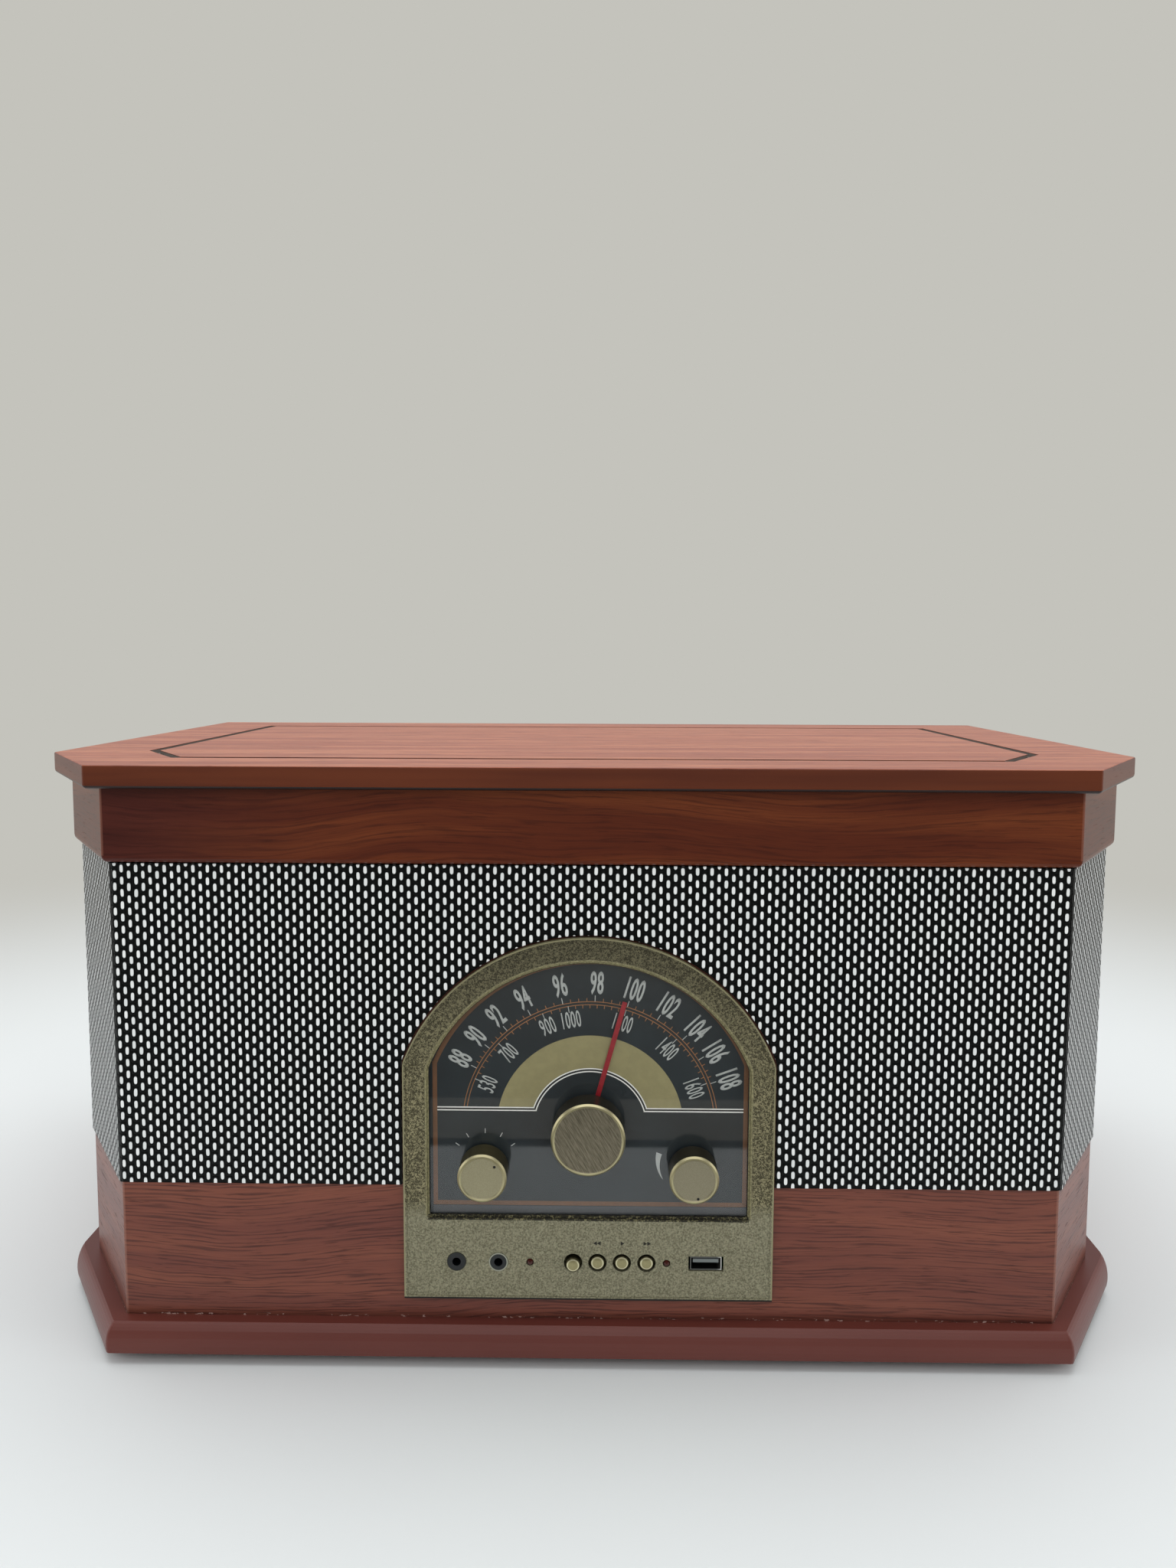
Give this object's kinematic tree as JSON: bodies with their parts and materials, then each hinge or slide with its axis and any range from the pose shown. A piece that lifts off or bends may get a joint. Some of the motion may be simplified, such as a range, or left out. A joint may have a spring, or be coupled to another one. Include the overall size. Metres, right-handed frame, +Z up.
{
  "type": "stereo music centre",
  "caption": "Wooden table-top music centre with canted front corners, an arched radio dial, a cloth speaker grille and a record player under a hinged lid.",
  "frame": {"origin": "on the floor, in the middle of the whole object in plan", "axes": "+X towards the listener's right along the front, +Y from the front to the back, +Z up"},
  "size_m": [0.49, 0.3444, 0.2544],
  "materials": {
    "mahogany": "satin lacquer",
    "base_paint": "satin paint",
    "pine": "raw",
    "rubber": "matte",
    "grille_cloth": "woven net",
    "deck_black": "fine texture",
    "antique_gold": "pebbled",
    "clear": "polished",
    "dial_print": "printed",
    "black_plastic": "matte",
    "white_metal": "plain",
    "lamp_red": "gloss",
    "circuit_green": "satin",
    "control_metal": "plain",
    "basket_paint": "satin",
    "cone_paper": "matte",
    "ferrite": "matte",
    "laminations": "plain",
    "hinge_brass": "satin",
    "knob_brass": "brushed",
    "pointer_red": "gloss",
    "cast_alloy": "satin",
    "pulley_brass": "turned",
    "arm_black": "gloss",
    "cartridge_red": "gloss"
  },
  "bodies": {
    "cabinet": {"base_board": "base_paint", "rubber_feet": "rubber", "front_baffle": "mahogany", "corner_panels": "mahogany", "side_panels": "mahogany", "back_panel": "mahogany", "speaker_grille": "grille_cloth", "deck_plate": "deck_black", "deck_cleats": "pine", "control_bezel": "antique_gold", "dial_lens": "clear", "dial_plate": "dial_print", "dial_housing": "black_plastic", "audio_jacks": "black_plastic", "usb_socket": "white_metal", "indicator_lamps": "lamp_red", "control_board": "circuit_green", "function_switch": "control_metal", "volume_control": "control_metal", "tuning_capacitor": "control_metal", "speaker_baskets": "basket_paint", "speaker_cones": "cone_paper", "speaker_magnets": "ferrite", "main_board": "circuit_green", "power_transformer": "laminations", "mains_inlet": "black_plastic", "line_sockets": "white_metal", "spindle": "white_metal", "drive_motor": "control_metal", "drive_belt": "rubber", "arm_base": "black_plastic", "arm_rest": "black_plastic", "cabinet_hinge_leaves": "hinge_brass", "cabinet_screws": "white_metal", "deck_screws": "white_metal"},
    "lid": {"lid_top": "mahogany", "lid_rails": "mahogany", "lid_hinge_leaves": "hinge_brass", "lid_pads": "rubber", "lid_screws": "white_metal"},
    "tuner": {"tuning_knob": "knob_brass", "tuning_shaft": "white_metal", "dial_pointer": "pointer_red"},
    "selector": {"selector_knob": "knob_brass", "selector_shaft": "white_metal"},
    "volume": {"volume_knob": "knob_brass", "volume_shaft": "white_metal"},
    "usb_key": {"usb_button": "knob_brass"},
    "previous_key": {"previous_button": "knob_brass"},
    "play_key": {"play_button": "knob_brass"},
    "next_key": {"next_button": "knob_brass"},
    "platter_body": {"platter": "cast_alloy", "platter_mat": "rubber"},
    "pulley": {"motor_pulley": "pulley_brass"},
    "arm_swing": {"arm_gimbal": "control_metal"},
    "arm": {"arm_tube": "arm_black", "headshell": "black_plastic", "cartridge": "cartridge_red"},
    "speed_lever": {"speed_slider": "control_metal"},
    "autostop_lever": {"autostop_slider": "control_metal"}
  },
  "joints": [
    {"name": "lid_hinge", "type": "hinge", "parent": "cabinet", "child": "lid", "pos_m": [0, 0.1644, 0.2133], "axis": [-1, 0, 0], "range_deg": [0, 78]},
    {"name": "tuning_turn", "type": "hinge", "parent": "cabinet", "child": "tuner", "pos_m": [0, -0.15875, 0.1013], "axis": [0, 1, 0], "range_deg": [-82, 56]},
    {"name": "selector_turn", "type": "hinge", "parent": "cabinet", "child": "selector", "pos_m": [-0.0437, -0.15875, 0.0845], "axis": [0, 1, 0], "range_deg": [-99, 9]},
    {"name": "volume_turn", "type": "hinge", "parent": "cabinet", "child": "volume", "pos_m": [0.0437, -0.15875, 0.0845], "axis": [0, 1, 0], "range_deg": [-300, 0]},
    {"name": "usb_press", "type": "slide", "parent": "cabinet", "child": "usb_key", "axis": [0, 1, 0], "range_m": [0, 0.0024], "stiffness_N_per_m": 300, "springref_m": -0.001},
    {"name": "previous_press", "type": "slide", "parent": "cabinet", "child": "previous_key", "axis": [0, 1, 0], "range_m": [0, 0.001], "stiffness_N_per_m": 400, "springref_m": -0.001},
    {"name": "play_press", "type": "slide", "parent": "cabinet", "child": "play_key", "axis": [0, 1, 0], "range_m": [0, 0.001], "stiffness_N_per_m": 400, "springref_m": -0.001},
    {"name": "next_press", "type": "slide", "parent": "cabinet", "child": "next_key", "axis": [0, 1, 0], "range_m": [0, 0.001], "stiffness_N_per_m": 400, "springref_m": -0.001},
    {"name": "platter_spin", "type": "hinge", "parent": "cabinet", "child": "platter_body", "pos_m": [-0.055, -0.00035, 0.2125], "axis": [0, 0, -1], "continuous": true},
    {"name": "pulley_spin", "type": "hinge", "parent": "cabinet", "child": "pulley", "pos_m": [-0.12422, -0.04882, 0.2015], "axis": [0, 0, -1], "continuous": true},
    {"name": "arm_turn", "type": "hinge", "parent": "cabinet", "child": "arm_swing", "pos_m": [0.11857, 0.07693, 0.226], "axis": [0, 0, -1], "range_deg": [0, 50]},
    {"name": "arm_lift", "type": "hinge", "parent": "arm_swing", "child": "arm", "pos_m": [0.11857, 0.07693, 0.226], "axis": [-1, 0, 0], "range_deg": [0, 4]},
    {"name": "speed_slide", "type": "slide", "parent": "cabinet", "child": "speed_lever", "axis": [0, 1, 0], "range_m": [0, 0.016]},
    {"name": "autostop_slide", "type": "slide", "parent": "cabinet", "child": "autostop_lever", "axis": [0, 1, 0], "range_m": [0, 0.006]}
  ],
  "couplings": [
    {"joint": "pulley_spin", "follows": "platter_spin", "ratio": 12.88}
  ]
}
